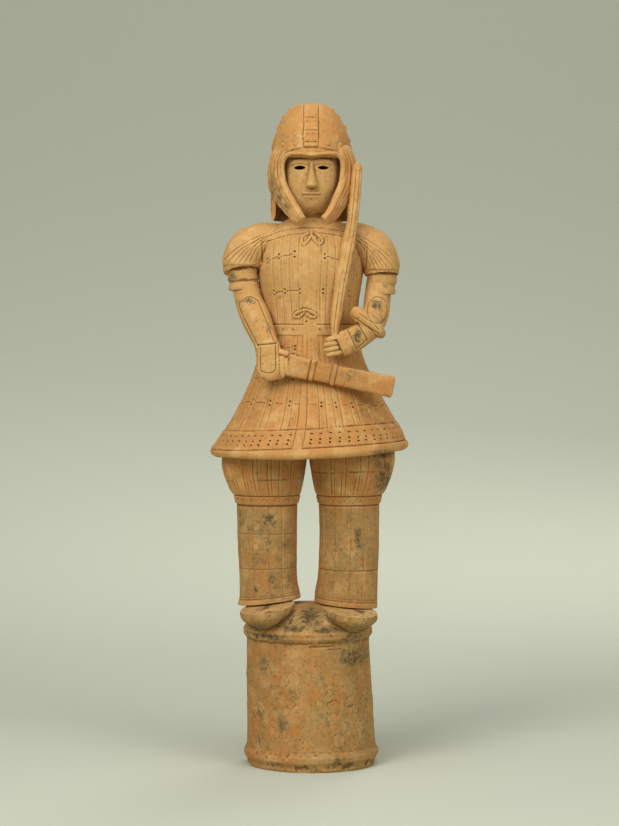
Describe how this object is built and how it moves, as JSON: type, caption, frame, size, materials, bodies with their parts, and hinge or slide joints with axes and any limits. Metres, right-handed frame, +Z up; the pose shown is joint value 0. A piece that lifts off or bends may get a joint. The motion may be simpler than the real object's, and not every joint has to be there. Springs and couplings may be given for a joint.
{
  "type": "haniwa warrior figure",
  "caption": "Standing clay tomb figure of an armoured warrior with helmet, sword and bow, on an open cylinder base.",
  "frame": {"origin": "on the ground, under the middle of the figure's box", "axes": "+Z up along the figure, which faces -Y, its own left side towards +X"},
  "size_m": [0.3844, 0.344, 1.305],
  "materials": {
    "clay": "Matt low-fired earthenware, orange-buff, scraped and pitted, with grey-black mineral stains on the greaves, gauntlets, sword and base."
  },
  "bodies": {
    "root": {"haniwa_figure": "clay"}
  },
  "joints": []
}
